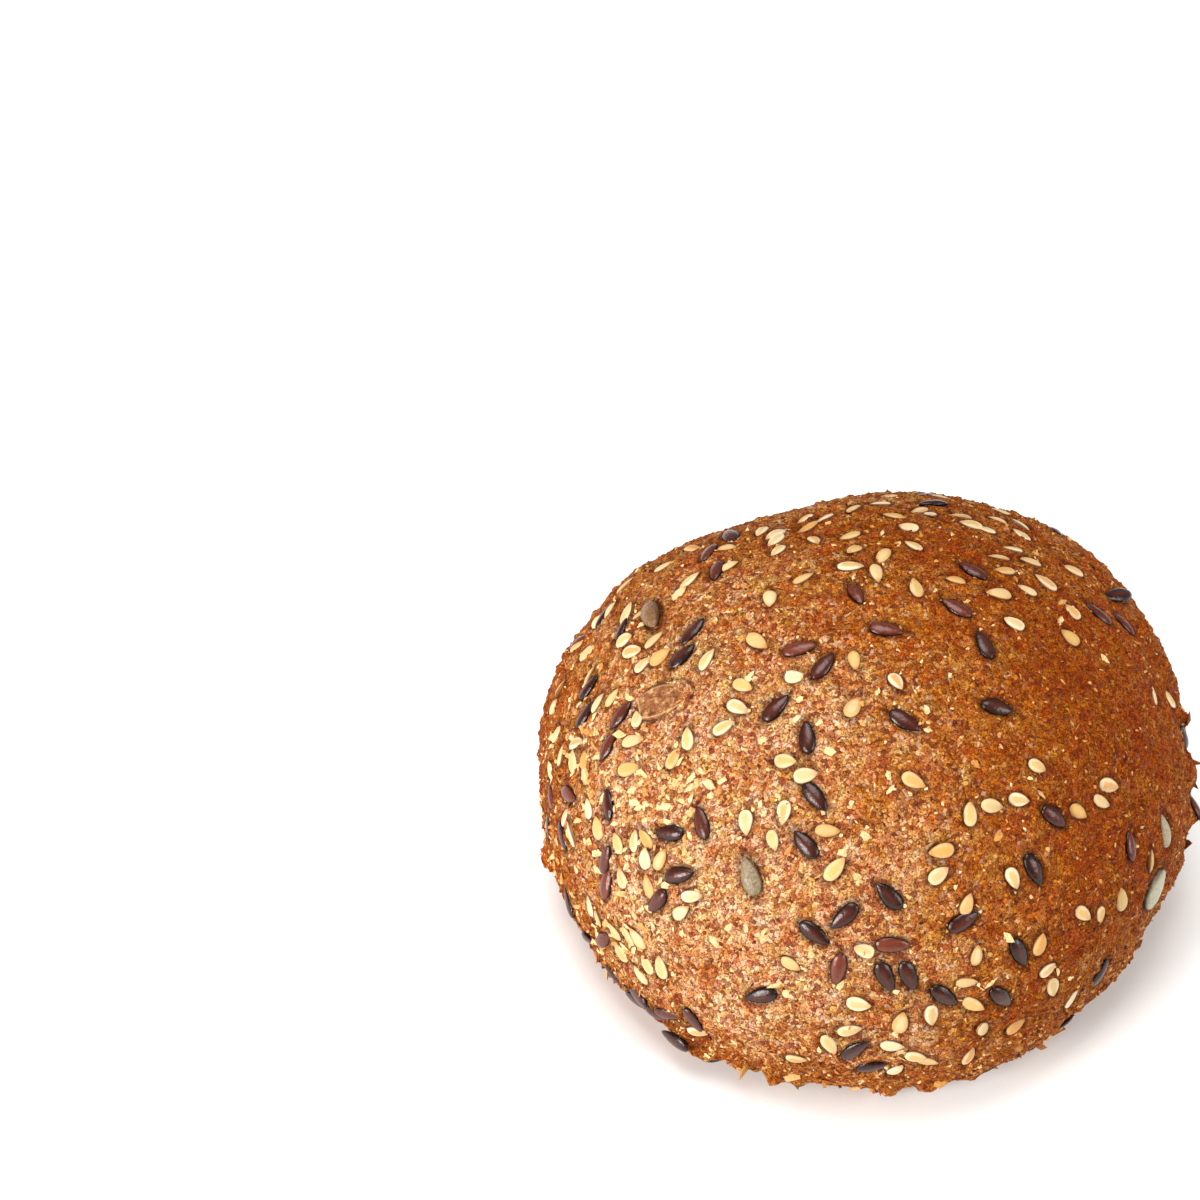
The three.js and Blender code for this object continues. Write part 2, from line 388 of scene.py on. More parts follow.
class Seats:
    """Where the seeds of one kind lie: middles, three unit axes each, and sizes."""

    def __init__(self):
        self.rows = []

    def add(self, middle, tip, out, size):
        """Adds a seed. The tip's way is made square to the way out."""
        out = np.array(out) / np.linalg.norm(out)
        tip = np.array(tip) - out * np.dot(tip, out)
        tip /= np.linalg.norm(tip)
        self.rows.append((np.array(middle), tip, np.cross(out, tip), out, np.array(size)))


def surface_at(tree, bearing, rise):
    """A point on the crust and the way out of it, where the CAD roll has that bearing and rise."""
    around, up = math.radians(bearing), math.radians(rise)
    if rise < 0:
        radius = BASE_RADIUS + (WIDTH / 2 - BASE_RADIUS) * math.cos(up)
        height = SHOULDER * (1 + math.sin(up))
    else:
        radius = WIDTH / 2 * math.cos(up)
        height = SHOULDER + (HEIGHT - SHOULDER) * math.sin(up)
    for lobes, cosine, sine in OUTLINE_LOBES:
        share = cosine * math.cos(lobes * around) + sine * math.sin(lobes * around)
        radius += WIDTH / 2 * math.cos(up) * share
    height *= 1 + LEAN * math.cos(around) * radius / (WIDTH / 2)
    centre = AXIS + Vector((0, 0, SHOULDER))
    aim = AXIS + Vector((radius * math.cos(around), radius * math.sin(around), height)) - centre
    point, normal, _, _ = tree.ray_cast(centre, aim.normalized())
    return np.array(point), np.array(normal)


def seat_at(tree, place, lift):
    """The middle, pointed end and way out of a seed that lies flat on the crust."""
    bearing, rise, turn = place
    point, out = surface_at(tree, bearing, rise)
    around, turned = math.radians(bearing), math.radians(turn)
    along = np.array([-math.sin(around), math.cos(around), 0])
    uphill = np.cross(out, along)
    return point + out * lift, along * math.cos(turned) + uphill * math.sin(turned), out


def cad_seat(node, tree):
    """The middle, pointed end and way out of a CAD seed, moved out or in to the crust's surface."""
    corners = np.array([v.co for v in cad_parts[node].data.vertices])
    middle = corners.mean(0)
    axes = np.linalg.svd(corners - middle)[2]
    along = (corners - middle) @ axes[0]
    off_axis = np.linalg.norm(corners - middle - along[:, None] * axes[0], axis=1)
    tip = axes[0] if off_axis[along > 0].mean() < off_axis[along < 0].mean() else -axes[0]
    point, normal, _, _ = tree.find_nearest(Vector(middle))
    return np.array(point), tip, np.array(normal)


def scatter(random, tree, count, taken):
    """Places for seeds on the side that the lists leave bare, none too near another."""
    found = []
    while len(found) < count:
        bearing = random.uniform(0, 360)
        rise = math.degrees(math.asin(random.uniform(*SCATTER_HEIGHTS)))
        point, out = surface_at(tree, bearing, rise)
        clear = min(np.linalg.norm(point - other) for other in taken) > SEED_SPACING
        if clear and out @ LISTED_SIDE < 0:
            taken.append(point)
            found.append((bearing, rise, random.uniform(0, 360)))
    return found


def lay_seeds(tree):
    """The seats of all seeds: those of the CAD model, the listed ones and the scattered ones."""
    random = np.random.default_rng(41)
    seats = {kind: Seats() for kind in SIZES}
    taken = []
    for kind, prefix in CAD_NAMES.items():
        for node in sorted(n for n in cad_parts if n.startswith(prefix)):
            point, tip, out = cad_seat(node, tree)
            taken.append(point)
            lift = LIFTS[kind] * MM - LOWERED.get(node, 0)
            seats[kind].add(point + out * lift, tip, out, SIZES[kind])
    places = {
        "sesame": list(SESAME_PLACES),
        "linseed": list(LINSEED_PLACES),
        "golden_kernel": GOLDEN_KERNEL_PLACES,
    }
    for kind in places:
        taken += [surface_at(tree, bearing, rise)[0] for bearing, rise, _ in places[kind]]
    for kind, count in BACK_SEEDS.items():
        places[kind] += scatter(random, tree, count, taken)
    for kind, listed in places.items():
        for place in listed:
            lift = (LIFTS[kind] + random.uniform(*DEPTH_SPREAD)) * MM
            middle, tip, out = seat_at(tree, place, lift)
            tilted = out + TILT_SPREAD * random.normal(size=3)
            size = np.array(SIZES[kind]) * random.uniform(*SIZE_SPREAD)
            seats[kind].add(middle, tip, tilted, size * random.uniform(*SIDE_SPREAD, 3))
    return seats


# ---- The finished crust ----

# How dark the crust is painted: 0 is pale and 1 is dark. It holds both the crust's browning and painted
# sheen, which makes the side where the key light's highlight falls paler. What each way of facing adds.
LEAST_TOAST = 0.1
AWAY_FROM_SHEEN_TOAST = 1.15
BACK_TOAST = -0.5
STEEP_TOAST = -0.25
LEFT_TOAST = 0.3

# What the lowest part of the crust adds, fading out at this height.
LOW_TOAST = -0.5
LOW_HEIGHT = 7 * MM

# The dent under a seed: where it starts and how soon it is full, in shares of the way from the
# seed's middle to its outline, and its depth as a share of the seed's thickness.
DENT_START = 1.12
DENT_RUN = 0.45
DENT_DEPTH = 0.42

# The raised lip outside the dent, and the painted shade of the gap at the outline, as a place and a width.
LIP_HEIGHT = 0.2 * MM
LIP = (1.45, 0.22)
GAP = (1.1, 0.28)
BAKED_IN_GAP = (1.0, 0.1)

# Relief of the crust: sizes of its parts, and heights in millimetres.
WRINKLE_SIZE = np.array([3.6, 1.5, 1.5]) * MM
WRINKLE_HEIGHT = 0.2
GRAIN_SIZE = 1.35 * MM
GRAIN_REACH = 0.62
GRAIN_HEIGHT = 0.4
ROUGHNESS_SIZE = 0.9 * MM
ROUGHNESS_HEIGHT = 0.2

# The hollow of the base: its radius and its depth in the middle, and its uneven skin.
HOLLOW_RADIUS = 36 * MM
HOLLOW_DEPTH = 1.3
SKIN_SIZE = 3 * MM
SKIN_HEIGHT = 0.35

# The ragged teeth round the foot of the crust.
TEETH_TOP = 4.5 * MM
TEETH_SIZE = 2.8 * MM
TEETH_HEIGHT = 3.6
TALLEST_TOOTH = 1.8


def toast_and_sheen_of(normals):
    """How dark the crust is painted, by the way it faces: partly browning, and partly painted sheen that
    makes it pale towards one side of the front.
    """
    # Facing away from the side of the painted sheen: darker, partly by browning and partly for want of
    # painted sheen.
    away_from_sheen = np.clip(1.04 - normals @ PALE_SHEEN_SIDE, 0, 0.62)
    back = np.clip(normals[:, 1], 0, 1)
    steep = np.clip(0.7 - normals[:, 2], 0, 0.7) * np.clip(1 + normals[:, 0], 0, 1)
    left = np.clip(-normals[:, 0] - 0.8, 0, 0.2) / 0.2
    toast_and_sheen = LEAST_TOAST + AWAY_FROM_SHEEN_TOAST * away_from_sheen + BACK_TOAST * back
    return np.clip(toast_and_sheen + STEEP_TOAST * steep + LEFT_TOAST * left, 0, 1)


def dent_under_seeds(vertices, seats):
    """How far the seeds push each vertex of the crust in or out, and how close it is to a seed's outline,
    where shade is painted in the gap.
    """
    tree = KDTree(len(vertices))
    for index, vertex in enumerate(vertices):
        tree.insert(vertex, index)
    tree.balance()
    push = np.zeros(len(vertices))
    seed_gap_shade = np.zeros(len(vertices))
    for kind, laid in seats.items():
        for middle, tip, side, out, size in laid.rows:
            near = [index for _, index, _ in tree.find_range(middle, size[0] * 0.95)]
            offset = vertices[near] - middle
            reach = np.hypot(offset @ tip / (size[0] / 2), offset @ side / (size[1] / 2))
            if kind in BAKED_IN:
                seed_gap_shade[near] = np.maximum(seed_gap_shade[near], ridge(reach, *BAKED_IN_GAP))
                continue
            dip = np.clip(DENT_START - reach, 0, DENT_RUN) / DENT_RUN
            bottom = -DENT_DEPTH * size[2] - offset @ out
            raised = push[near] + LIP_HEIGHT * ridge(reach, *LIP) * (reach > 1)
            push[near] = np.where(dip > 0, np.minimum(push[near], bottom * dip), raised)
            seed_gap_shade[near] = np.maximum(seed_gap_shade[near], ridge(reach, *GAP))
    return push, seed_gap_shade


def finish_crust(vertices, quads, seats):
    """The crust with its relief and dents, how close each vertex is to a seed for painted shade, and where
    its base is.
    """
    normals = vertex_normals(vertices, quads)
    push, seed_gap_shade = dent_under_seeds(vertices, seats)
    wrinkles = 1 - 2 * np.abs(layered_noise(vertices / WRINKLE_SIZE, seed=21, layers=2))
    distance, number = nearest_grain(vertices / GRAIN_SIZE, seed=31)
    grain = (0.35 + number) * np.clip(1 - (distance / GRAIN_REACH) ** 2, 0, 1)
    relief = WRINKLE_HEIGHT * wrinkles + GRAIN_HEIGHT * grain
    relief += ROUGHNESS_HEIGHT * smooth_noise(vertices / ROUGHNESS_SIZE, seed=44)
    height = vertices[:, 2]
    under = np.clip(-normals[:, 2] * 4 - 2.6, 0, 1) * np.clip(1 - height / (2 * MM), 0, 1)
    radius = np.hypot(vertices[:, 0], vertices[:, 1])
    hollow = HOLLOW_DEPTH * np.clip(1 - (radius / HOLLOW_RADIUS) ** 2, 0, 1)
    hollow += SKIN_HEIGHT * (1 + layered_noise(vertices / SKIN_SIZE, seed=55))
    hollow *= np.clip((BASE_RADIUS - radius) / (2 * MM), 0, 1)
    relief = relief * (1 - under) - hollow * under
    teeth = np.clip(layered_noise(vertices / TEETH_SIZE, seed=61, layers=2) - 0.05, 0, 1) ** 1.4
    foot = np.clip(1 - height / TEETH_TOP, 0, 1) * (1 - under)
    relief += np.minimum(TEETH_HEIGHT * teeth, TALLEST_TOOTH) * foot
    vertices = vertices + normals * (relief * (1 - seed_gap_shade) * MM + push)[:, None]
    vertices[:, 2] = np.maximum(vertices[:, 2], 0)
    return vertices, seed_gap_shade, under


# ---- Materials ----


class Shading:
    """A material's nodes, added by type name and linked by socket name."""

    def __init__(self, name):
        self.material = bpy.data.materials.new(name)
        self.material.use_nodes = True
        self.tree = self.material.node_tree
        self.surface = self.tree.nodes["Principled BSDF"]

    def node(self, kind, inputs=None, **settings):
        node = self.tree.nodes.new("ShaderNode" + kind)
        for name, value in settings.items():
            setattr(node, name, value)
        for name, value in (inputs or {}).items():
            self.put(node, name, value)
        return node

    def put(self, node, name, value):
        """Links a socket to the input, or sets a plain value on it."""
        socket = node.inputs[name]
        if isinstance(value, bpy.types.NodeSocket):
            self.tree.links.new(value, socket)
        else:
            socket.default_value = value

    def attribute(self, name):
        return self.node("Attribute", attribute_name=name).outputs["Fac"]

    def math(self, operation, first, second):
        return self.node("Math", {0: first, 1: second}, operation=operation).outputs[0]

    def mix(self, factor, first, second, blend_type="MIX"):
        node = self.node("Mix", data_type="RGBA", blend_type=blend_type)
        for index, value in ((0, factor), (6, first), (7, second)):
            self.put(node, index, value)
        return node.outputs[2]

    def ramp(self, factor, stops):
        node = self.node("ValToRGB", {"Fac": factor})
        elements = node.color_ramp.elements
        while len(elements) < len(stops):
            elements.new(0.5)
        for element, (position, colour) in zip(elements, stops):
            element.position = position
            element.color = colour if len(colour) == 4 else (*colour, 1)
        return node.outputs["Color"]

    def noise(self, vector, size, detail=2.0, rough=0.5):
        inputs = {"Vector": vector, "Scale": 1 / size, "Detail": detail, "Roughness": rough}
        return self.node("TexNoise", inputs)

    def bump(self, height, distance, strength=1.0, normal=None):
        inputs = {"Height": height, "Distance": distance, "Strength": strength}
        if normal is not None:
            inputs["Normal"] = normal
        return self.node("Bump", inputs).outputs["Normal"]


def rgb(red, green, blue):
    """A colour as seen, from 0 to 255, as the linear values that shaders take."""
    seen = np.array([red, green, blue]) / 255
    linear = np.where(seen < 0.04045, seen / 12.92, ((seen + 0.055) / 1.055) ** 2.4)
    return (*linear.tolist(), 1.0)


# The granules of the crust's skin, and how far they are pushed out of shape.
GRANULE = 0.6 * MM
DRIFT = 0.8 * MM


def crust_material():
    """Crust made of small granules, each with a colour of its own, over blotches of browning and painted
    sheen.

    Some granules are pale specks, which on the pale side also stand in as painted glints. The gaps between
    granules, and those round the seeds, are painted dark as shade.
    """
    s = Shading("baked_crust")
    place = s.node("TexCoord").outputs["Object"]
    drift = s.noise(place, 0.8 * MM, 2).outputs["Color"]
    drift = s.node("VectorMath", {0: drift, 1: (DRIFT, DRIFT, DRIFT)}, operation="MULTIPLY").outputs[0]
    warped = s.node("VectorMath", {0: place, 1: drift}, operation="ADD").outputs[0]
    cells = {"Vector": warped, "Scale": 1 / GRANULE}
    granules = s.node("TexVoronoi", cells)
    gaps = s.node("TexVoronoi", cells, feature="DISTANCE_TO_EDGE")
    chance = s.node("SeparateColor", {"Color": granules.outputs["Color"]})
    fine = s.noise(place, 0.26 * MM, 3, 0.7).outputs["Fac"]
    blotch = s.noise(warped, 2.2 * MM, 4, 0.65).outputs["Fac"]
    hue = s.noise(warped, 3.4 * MM, 3, 0.6).outputs["Color"]
    hue = s.node("SeparateColor", {"Color": hue}).outputs["Green"]
    broad = s.noise(place, 12 * MM, 3, 0.55).outputs["Fac"]

    # Browning with painted sheen, from the vertices, with broad patches and blotches of browning over it.
    toast_and_sheen = s.math("ADD", s.attribute("toast_and_sheen"), s.math("MULTIPLY", s.math("SUBTRACT", broad, 0.5), 0.6))
    toast_and_sheen = s.math("ADD", toast_and_sheen, s.math("MULTIPLY", s.math("SUBTRACT", blotch, 0.5), 1.2))
    colour = s.ramp(toast_and_sheen, [
        (0.0, rgb(218, 171, 136)), (0.25, rgb(198, 140, 90)), (0.5, rgb(174, 104, 40)),
        (0.75, rgb(162, 82, 8)), (1.0, rgb(150, 64, 2)),
    ])
    tint = s.ramp(hue, [(0.36, (1.0, 0.72, 0.6)), (0.5, (1.0, 1.0, 1.0)), (0.64, (1.0, 1.14, 0.92))])
    colour = s.mix(0.9, colour, tint, "MULTIPLY")
    own_shade = s.ramp(chance.outputs["Red"], [
        (0.0, (0.34, 0.17, 0.18)), (0.2, (0.76, 0.52, 0.5)), (0.45, (1.0, 0.92, 0.87)),
        (0.65, (1.12, 1.18, 1.08)), (0.84, (1.3, 1.42, 1.3)), (1.0, (1.55, 1.9, 2.0)),
    ])
    own_share = s.ramp(toast_and_sheen, [(0.35, (0.95, 0.95, 0.95)), (0.85, (0.6, 0.6, 0.6))])
    colour = s.mix(own_share, colour, own_shade, "MULTIPLY")
    shade = s.ramp(fine, [
        (0.34, (0.22, 0.14, 0.1)), (0.45, (0.85, 0.8, 0.75)), (0.55, (1.08, 1.08, 1.08)),
        (0.66, (1.6, 1.7, 1.6)),
    ])
    colour = s.mix(0.9, colour, shade, "MULTIPLY")
    # Pale specks of bran, many more where the crust is pale; there they also paint glints of light on the
    # granules.
    specks = s.ramp(chance.outputs["Blue"], [(0.87, (0, 0, 0)), (0.9, (1, 1, 1))])
    speck_and_glint_share = s.ramp(toast_and_sheen, [(0.1, (0.8, 0.8, 0.8)), (0.65, (0.06, 0.06, 0.06))])
    colour = s.mix(s.math("MULTIPLY", specks, speck_and_glint_share), colour, rgb(236, 204, 168))
    # Painted shade in the gaps between granules.
    ragged = s.math("ADD", gaps.outputs["Distance"], s.math("MULTIPLY", fine, 0.18))
    granule_gap_shade = s.ramp(ragged, [(0.07, (1, 1, 1)), (0.19, (0, 0, 0))])
    colour = s.mix(s.math("MULTIPLY", granule_gap_shade, 0.9), colour, rgb(74, 20, 5))
    # Painted shade in the gap round each seed.
    seed_gap_shade = s.math("MULTIPLY", s.attribute("seed_gap_shade"), 0.6)
    colour = s.mix(seed_gap_shade, colour, rgb(52, 17, 5))

    pits = s.noise(place, 1.4 * MM, 4, 0.65).outputs["Fac"]
    base = s.ramp(pits, [(0.35, rgb(92, 48, 24)), (0.55, rgb(150, 92, 48)), (0.75, rgb(196, 150, 96))])
    s.put(s.surface, "Base Color", s.mix(s.attribute("under"), colour, base))
    s.put(s.surface, "Roughness", s.ramp(fine, [(0.35, (0.8, 0.8, 0.8)), (0.7, (0.5, 0.5, 0.5))]))
    s.surface.inputs["Specular IOR Level"].default_value = 0.08
    raised = s.math("MULTIPLY", chance.outputs["Green"], 0.9)
    dome = s.math("SUBTRACT", raised, granules.outputs["Distance"])
    coarse = s.bump(dome, 0.35 * MM, 0.8)
    s.put(s.surface, "Normal", s.bump(fine, 0.5 * MM, 0.9, coarse))
    return s.material


def seed_coat(name, stops, mottling):
    """A seed's coat: each seed has a tone of its own, with soft mottling over it."""
    s = Shading(name)
    place = s.node("TexCoord").outputs["Object"]
    mottle = s.noise(place, 0.6 * MM, 3, 0.6).outputs["Fac"]
    spread = s.math("MULTIPLY", s.math("SUBTRACT", mottle, 0.5), mottling)
    return s, mottle, s.ramp(s.math("ADD", s.attribute("tone"), spread), stops)


def sesame_material():
    """Cream with a pale rim, a golden or olive middle, a browner tip, and painted shade as a thin dark
    outline.
    """
    s, mottle, colour = seed_coat("sesame", [
        (0.0, rgb(182, 136, 74)), (0.2, rgb(200, 158, 100)), (0.55, rgb(210, 178, 132)),
        (1.0, rgb(218, 197, 162)),
    ], 0.5)
    edge = s.attribute("edge")
    own_number = s.math("FRACT", s.math("MULTIPLY", s.attribute("tone"), 7.3), 0)
    middle_colour = s.ramp(own_number, [
        (0.0, rgb(190, 126, 52)), (0.3, rgb(198, 156, 84)), (0.6, rgb(182, 156, 100)),
        (1.0, rgb(210, 184, 142)),
    ])
    ragged_edge = s.math("ADD", edge, s.math("MULTIPLY", mottle, 0.5))
    middle = s.ramp(ragged_edge, [(0.6, (0.8, 0.8, 0.8)), (0.85, (0, 0, 0))])
    colour = s.mix(middle, colour, middle_colour)
    ragged_along = s.math("ADD", s.attribute("along"), s.math("MULTIPLY", mottle, 0.2))
    tip = s.ramp(ragged_along, [(0.85, (0, 0, 0)), (1.05, (1, 1, 1))])
    colour = s.mix(s.math("MULTIPLY", tip, 0.6), colour, rgb(176, 112, 46))
    # Painted shade: a thin dark outline where the seed meets the crust.
    line = s.ramp(edge, [(0.88, (0, 0, 0)), (0.99, (1, 1, 1))])
    colour = s.mix(s.math("MULTIPLY", line, 0.85), colour, rgb(96, 48, 16))
    s.put(s.surface, "Base Color", colour)
    s.surface.inputs["Roughness"].default_value = 0.45
    s.surface.inputs["Specular IOR Level"].default_value = 0.3
    s.put(s.surface, "Normal", s.bump(mottle, 0.14 * MM, 0.8))
    return s.material


def linseed_material():
    """A glossy coat, nearly black to chestnut, a little paler along the middle as a painted highlight, with
    painted shade darkening its outline.
    """
    s, mottle, colour = seed_coat("linseed", [
        (0.0, rgb(30, 9, 4)), (0.45, rgb(52, 18, 9)), (0.8, rgb(80, 31, 18)), (1.0, rgb(106, 48, 30)),
    ], 0.6)
    # Painted highlight: paler along the middle.
    middle = s.ramp(s.attribute("edge"), [(0.1, (0.6, 0.6, 0.6)), (0.5, (0, 0, 0))])
    colour = s.mix(middle, colour, rgb(84, 36, 22))
    # Painted shade: a nearly black outline.
    line = s.ramp(s.attribute("edge"), [(0.7, (0, 0, 0)), (0.95, (1, 1, 1))])
    s.put(s.surface, "Base Color", s.mix(s.math("MULTIPLY", line, 0.8), colour, rgb(14, 5, 4)))
    s.surface.inputs["Roughness"].default_value = 0.22
    s.surface.inputs["Specular IOR Level"].default_value = 0.36
    s.put(s.surface, "Normal", s.bump(mottle, 0.14 * MM, 0.6))
    return s.material


def kernel_material(name, stops):
    """A bare kernel with a mottled, slightly glossy skin and darker edges."""
    s, mottle, colour = seed_coat(name, stops, 0.7)
    line = s.ramp(s.attribute("edge"), [(0.8, (0, 0, 0)), (1.0, (1, 1, 1))])
    s.put(s.surface, "Base Color", s.mix(s.math("MULTIPLY", line, 0.7), colour, rgb(84, 48, 26)))
    s.surface.inputs["Roughness"].default_value = 0.26
    s.surface.inputs["Specular IOR Level"].default_value = 0.7
    s.put(s.surface, "Normal", s.bump(mottle, 0.35 * MM, 0.9))
    return s.material


def crusted_material():
    """A seed baked into the crust: blotched like it, with a thin pale line inside a dark rim of painted
    shade round it.
    """
    s = Shading("crusted_kernel")
    place = s.node("TexCoord").outputs["Object"]
    edge = s.attribute("edge")
    blotch = s.noise(place, 1.1 * MM, 4, 0.7).outputs["Fac"]
    fine = s.noise(place, 0.3 * MM, 3, 0.7).outputs["Fac"]
    colour = s.ramp(blotch, [
        (0.32, rgb(70, 30, 12)), (0.45, rgb(130, 74, 36)), (0.55, rgb(152, 104, 62)),
        (0.68, rgb(206, 170, 122)),
    ])
    shade = s.ramp(fine, [(0.35, (0.5, 0.42, 0.36)), (0.5, (1.0, 1.0, 1.0)), (0.65, (1.25, 1.3, 1.35))])
    colour = s.mix(0.8, colour, shade, "MULTIPLY")
    line = s.ramp(edge, [(0.68, (0, 0, 0)), (0.74, (1, 1, 1)), (0.8, (0, 0, 0))])
    colour = s.mix(s.math("MULTIPLY", line, 0.55), colour, rgb(222, 186, 128))
    # Painted shade: a dark rim at the outline.
    rim = s.ramp(edge, [(0.82, (0, 0, 0)), (0.9, (1, 1, 1))])
    s.put(s.surface, "Base Color", s.mix(s.math("MULTIPLY", rim, 0.85), colour, rgb(64, 26, 10)))
    s.surface.inputs["Roughness"].default_value = 0.55
    s.surface.inputs["Specular IOR Level"].default_value = 0.2
    s.put(s.surface, "Normal", s.bump(blotch, 0.9 * MM, 0.8, s.bump(fine, 0.3 * MM, 0.7)))
    return s.material


def bran_material():
    """Bran and oat flakes, from dark to pale by each flake's tone, with a fine rough skin."""
    s = Shading("bran")
    colour = s.ramp(s.attribute("tone"), [
        (0.0, rgb(80, 26, 8)), (0.3, rgb(130, 58, 14)), (0.55, rgb(164, 94, 32)),
        (0.8, rgb(204, 148, 78)), (1.0, rgb(234, 202, 146)),
    ])
    place = s.node("TexCoord").outputs["Object"]
    fine = s.noise(place, 0.26 * MM, 3, 0.7).outputs["Fac"]
    shade = s.ramp(fine, [(0.35, (0.4, 0.32, 0.25)), (0.5, (1.0, 1.0, 1.0)), (0.65, (1.3, 1.35, 1.4))])
    s.put(s.surface, "Base Color", s.mix(0.7, colour, shade, "MULTIPLY"))
    s.surface.inputs["Roughness"].default_value = 0.6
    s.surface.inputs["Specular IOR Level"].default_value = 0.15
    s.put(s.surface, "Normal", s.bump(fine, 0.3 * MM, 0.8))
    return s.material


# ---- Seeds ----

# How much each seed's surface wavers from its kind's shape, and how far it is bent along its length.
SEED_WOBBLE = 0.05
SESAME_BEND = 0.1
OTHER_BEND = 0.05


def rounded(values, power):
    """Cosines or sines bent so that they draw an oval that is squarer above power 2 and slimmer below."""
    return np.sign(values) * np.abs(values) ** (2 / power)


def seed_shape(rings, sides, tip_power, section_power):
    """A closed drop along X inside a 2 x 2 x 2 box, pointed at +X, and how near its edge each vertex is."""
    steps = -np.cos(np.linspace(0, math.pi, rings + 1))[1:-1]
    width = (1 + steps) ** 0.5 * (1 - steps) ** tip_power
    width /= width.max()
    angle = np.linspace(0, 2 * math.pi, sides, endpoint=False)
    y = rounded(np.cos(angle), section_power)
    z = rounded(np.sin(angle), section_power)
    body = [np.repeat(steps, sides), np.outer(width, y).ravel(), np.outer(width, z).ravel()]
    vertices = np.concatenate([np.stack(body, axis=1), [[-1, 0, 0], [1, 0, 0]]])
    count = len(steps)
    faces = []
    for ring in range(count - 1):
        for side in range(sides):
            a, b = ring * sides + side, ring * sides + (side + 1) % sides
            faces.append((a, b, b + sides, a + sides))
    blunt, tip = count * sides, count * sides + 1
    for side in range(sides):
        after = (side + 1) % sides
        faces.append((blunt, after, side))
        faces.append((tip, (count - 1) * sides + side, (count - 1) * sides + after))
    edge = np.clip(np.concatenate([np.tile(np.abs(y), count), [1, 1]]), 0, 1)
    edge = np.maximum(edge, np.abs(vertices[:, 0]) ** 2)
    return vertices, faces, edge


def seed_object(name, shape, seats, material, random, bend):
    """All seeds of one kind, joined into one piece."""
    vertices, faces, edge = shape
    all_vertices, all_faces, tones = [], [], []
    for middle, tip, side, out, size in seats.rows:
        local = vertices.copy()
        local[:, 2] += bend * random.normal() * (1 - local[:, 0] ** 2)
        wobble = SEED_WOBBLE * smooth_noise(vertices * 1.3 + random.uniform(0, 50, 3), seed=5)
        local *= 1 + wobble[:, None]
        local *= size / 2
        start = len(all_vertices) * len(vertices)
        all_vertices.append(middle + local @ np.array([tip, side, out]))
        all_faces += [tuple(start + corner for corner in face) for face in faces]
        tones.append(np.full(len(vertices), random.uniform(0, 1)))
    thing = make_object(name, np.concatenate(all_vertices), all_faces, material)
    add_values(thing, "tone", np.concatenate(tones))
    add_values(thing, "edge", np.tile(edge, len(seats.rows)))
    add_values(thing, "along", np.tile(vertices[:, 0] / 2 + 0.5, len(seats.rows)))
    return thing


# ---- Flakes on the crust ----

FLAKE_SIDES = 5

# A flake's crown and root stand off its middle by these shares of its breadth.
CROWN_SHARE = 0.2
ROOT_SHARE = 0.3

# How much paler a flake is where the crust is pale, by its browning and by painted sheen.
PALE_CRUST_SHARE = 0.45

# Each piece made of flakes: how many lie in which band of bearing and rise, or their places; the
# least and greatest length in millimetres; and where they differ, breadth as a share of length,
# tilt, and range of tones.
ALL_ROUND = (0, 360)
FLAKE_PIECES = {
    "bran_flakes": {"bands": [(12000, ALL_ROUND, (-37, 88))], "lengths": (0.4, 1.1)},
    "bran_fibres": {
        "bands": [(260, ALL_ROUND, (-20, 88))], "lengths": (0.9, 2.4),
        "slimness": 0.12, "tilt": 0.08, "tones": (0.5, 0.95),
    },
    "oat_flakes": {
        "bands": [(60, (195, 265), (5, 65)), (300, (176, 228), (-5, 46)), (120, ALL_ROUND, (-37, 88))],
        "lengths": (1.1, 2.4), "slimness": 0.6, "tilt": 0.2, "tones": (0.65, 1.1),
    },
    "pale_husks": {
        "places": HUSK_PLACES, "lengths": (1.5, 2.8),
        "slimness": 0.55, "tilt": 0.3, "tones": (1.0, 1.1),
    },
    "rim_crumbs": {
        "bands": [(700, ALL_ROUND, (-88, -50))], "lengths": (1.0, 2.6),
        "slimness": 0.6, "tilt": 0.7, "tones": (0.2, 0.9),
    },
    "edge_scales": {
        "places": EDGE_SCALE_PLACES, "lengths": (2.0, 3.4),
        "slimness": 0.6, "tilt": 0.5, "tones": (0.2, 0.45),
    },
    "rim_lumps": {
        "bands": [(110, ALL_ROUND, (-75, -25))], "lengths": (2.2, 4.0),
        "slimness": 0.6, "tilt": 0.5, "tones": (0.5, 0.95),
    },
}


def band_places(random, count, bearings, rises):
    """Places spread evenly over a band of the crust."""
    low, high = np.sin(np.radians(rises))
    rise = np.degrees(np.arcsin(random.uniform(low, high, count)))
    return np.column_stack([random.uniform(*bearings, count), rise])


